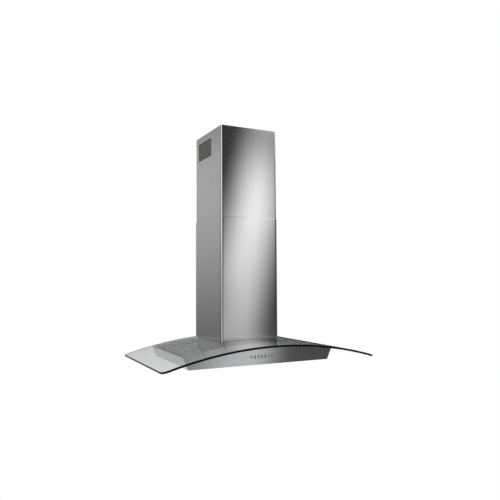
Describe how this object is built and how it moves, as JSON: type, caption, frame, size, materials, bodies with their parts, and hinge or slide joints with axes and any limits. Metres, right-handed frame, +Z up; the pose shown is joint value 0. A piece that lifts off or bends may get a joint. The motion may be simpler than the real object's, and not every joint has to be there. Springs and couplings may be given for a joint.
{
  "type": "wall range hood",
  "caption": "Wall-hung range hood with an arched glass canopy, brushed steel body, tilting grease filters and a telescoping two-part flue with side vents.",
  "frame": {"origin": "centre of the four wall fixing holes in the back of the blower box, on the wall plane", "axes": "+X right as seen from the room, +Y into the wall, +Z up"},
  "size_m": [0.9, 0.52, 0.973],
  "materials": {
    "canopy_glass": "clear, polished edges with a green tint",
    "clear_silicone": "translucent grey",
    "brushed_stainless": "horizontal brushed grain",
    "flue_stainless": "vertical brushed grain",
    "galvanised_steel": "galvanised, dull",
    "zinc_plated_steel": "zinc plated",
    "spring_steel": "bright wire",
    "filter_aluminium": "anodised satin",
    "filter_mesh_aluminium": "layered expanded mesh",
    "latch_plastic": "moulded",
    "lamp_trim_steel": "polished",
    "frosted_lens": "frosted",
    "led_module": "white ceramic and phosphor",
    "scroll_plastic": "moulded",
    "impeller_plastic": "moulded",
    "motor_steel": "grey",
    "capacitor_plastic": "moulded white",
    "damper_plastic": "moulded",
    "vent_plastic": "moulded, dark grey",
    "slide_felt": "felt",
    "black_plastic": "moulded",
    "circuit_board": "solder mask",
    "button_metal": "satin caps"
  },
  "bodies": {
    "hood": {"glass_canopy": "canopy_glass", "glass_gasket": "clear_silicone", "glass_clamp_pad": "clear_silicone", "canopy_front_panel": "brushed_stainless", "canopy_left_side": "brushed_stainless", "canopy_right_side": "brushed_stainless", "canopy_top_plate": "brushed_stainless", "underside_panel": "brushed_stainless", "lower_flue": "flue_stainless", "canopy_back_panel": "galvanised_steel", "blower_box_shell": "galvanised_steel", "blower_box_back": "galvanised_steel", "blower_box_top": "galvanised_steel", "glass_clamp_frame": "galvanised_steel", "filter_hinge_ears": "galvanised_steel", "motor_bracket": "galvanised_steel", "duct_collar": "galvanised_steel", "pan_head_screws": "zinc_plated_steel", "damper_pin": "zinc_plated_steel", "left_lamp_housing": "lamp_trim_steel", "right_lamp_housing": "lamp_trim_steel", "left_lamp_lens": "frosted_lens", "right_lamp_lens": "frosted_lens", "left_lamp_led": "led_module", "right_lamp_led": "led_module", "scroll_housing": "scroll_plastic", "left_scroll_cover": "scroll_plastic", "right_scroll_cover": "scroll_plastic", "motor": "motor_steel", "run_capacitor": "capacitor_plastic", "flue_slide_strips": "slide_felt", "button_guide": "black_plastic", "electrical_box": "black_plastic", "electrical_box_cover": "black_plastic", "cable_gland": "black_plastic", "control_board": "circuit_board"},
    "upper_flue": {"upper_flue": "flue_stainless", "left_vent_grille": "vent_plastic", "right_vent_grille": "vent_plastic", "flue_wall_bracket": "galvanised_steel"},
    "left_filter": {"left_filter_frame": "filter_aluminium", "left_filter_mesh": "filter_mesh_aluminium", "left_filter_latch_spring": "spring_steel"},
    "right_filter": {"right_filter_frame": "filter_aluminium", "right_filter_mesh": "filter_mesh_aluminium", "right_filter_latch_spring": "spring_steel"},
    "left_latch": {"left_filter_latch": "latch_plastic"},
    "right_latch": {"right_filter_latch": "latch_plastic"},
    "fan_wheel": {"impeller": "impeller_plastic", "motor_shaft": "zinc_plated_steel"},
    "left_flap": {"left_damper_flap": "damper_plastic"},
    "right_flap": {"right_damper_flap": "damper_plastic"},
    "lamp_button_body": {"lamp_button": "button_metal"},
    "speed_1_button_body": {"speed_1_button": "button_metal"},
    "speed_2_button_body": {"speed_2_button": "button_metal"},
    "speed_3_button_body": {"speed_3_button": "button_metal"},
    "speed_4_button_body": {"speed_4_button": "button_metal"},
    "timer_button_body": {"timer_button": "button_metal"},
    "off_button_body": {"off_button": "button_metal"}
  },
  "joints": [
    {"name": "upper_flue_slide", "type": "slide", "parent": "hood", "child": "upper_flue", "axis": [0, 0, 1], "range_m": [-0.36, 0.05]},
    {"name": "left_filter_tilt", "type": "hinge", "parent": "hood", "child": "left_filter", "pos_m": [-0.147, -0.022, -0.2335], "axis": [1, 0, 0], "range_deg": [0, 80]},
    {"name": "right_filter_tilt", "type": "hinge", "parent": "hood", "child": "right_filter", "pos_m": [0.147, -0.022, -0.2335], "axis": [1, 0, 0], "range_deg": [0, 80]},
    {"name": "left_latch_slide", "type": "slide", "parent": "left_filter", "child": "left_latch", "axis": [0, 1, 0], "range_m": [0, 0.005], "stiffness_N_per_m": 400, "springref_m": -0.003, "deforming": ["left_filter_latch_spring"]},
    {"name": "right_latch_slide", "type": "slide", "parent": "right_filter", "child": "right_latch", "axis": [0, 1, 0], "range_m": [0, 0.005], "stiffness_N_per_m": 400, "springref_m": -0.003, "deforming": ["right_filter_latch_spring"]},
    {"name": "fan_spin", "type": "hinge", "parent": "hood", "child": "fan_wheel", "pos_m": [0, -0.124, -0.03], "axis": [1, 0, 0], "continuous": true},
    {"name": "left_damper_hinge", "type": "hinge", "parent": "hood", "child": "left_flap", "pos_m": [0, -0.152, 0.134], "axis": [0, 1, 0], "range_deg": [0, 75]},
    {"name": "right_damper_hinge", "type": "hinge", "parent": "hood", "child": "right_flap", "pos_m": [0, -0.152, 0.134], "axis": [0, -1, 0], "range_deg": [0, 75]},
    {"name": "lamp_press", "type": "slide", "parent": "hood", "child": "lamp_button_body", "axis": [0, 1, 0], "range_m": [0, 0.0015], "stiffness_N_per_m": 400, "springref_m": -0.001},
    {"name": "speed_1_press", "type": "slide", "parent": "hood", "child": "speed_1_button_body", "axis": [0, 1, 0], "range_m": [0, 0.0015], "stiffness_N_per_m": 400, "springref_m": -0.001},
    {"name": "speed_2_press", "type": "slide", "parent": "hood", "child": "speed_2_button_body", "axis": [0, 1, 0], "range_m": [0, 0.0015], "stiffness_N_per_m": 400, "springref_m": -0.001},
    {"name": "speed_3_press", "type": "slide", "parent": "hood", "child": "speed_3_button_body", "axis": [0, 1, 0], "range_m": [0, 0.0015], "stiffness_N_per_m": 400, "springref_m": -0.001},
    {"name": "speed_4_press", "type": "slide", "parent": "hood", "child": "speed_4_button_body", "axis": [0, 1, 0], "range_m": [0, 0.0015], "stiffness_N_per_m": 400, "springref_m": -0.001},
    {"name": "timer_press", "type": "slide", "parent": "hood", "child": "timer_button_body", "axis": [0, 1, 0], "range_m": [0, 0.0015], "stiffness_N_per_m": 400, "springref_m": -0.001},
    {"name": "off_press", "type": "slide", "parent": "hood", "child": "off_button_body", "axis": [0, 1, 0], "range_m": [0, 0.0015], "stiffness_N_per_m": 400, "springref_m": -0.001}
  ]
}
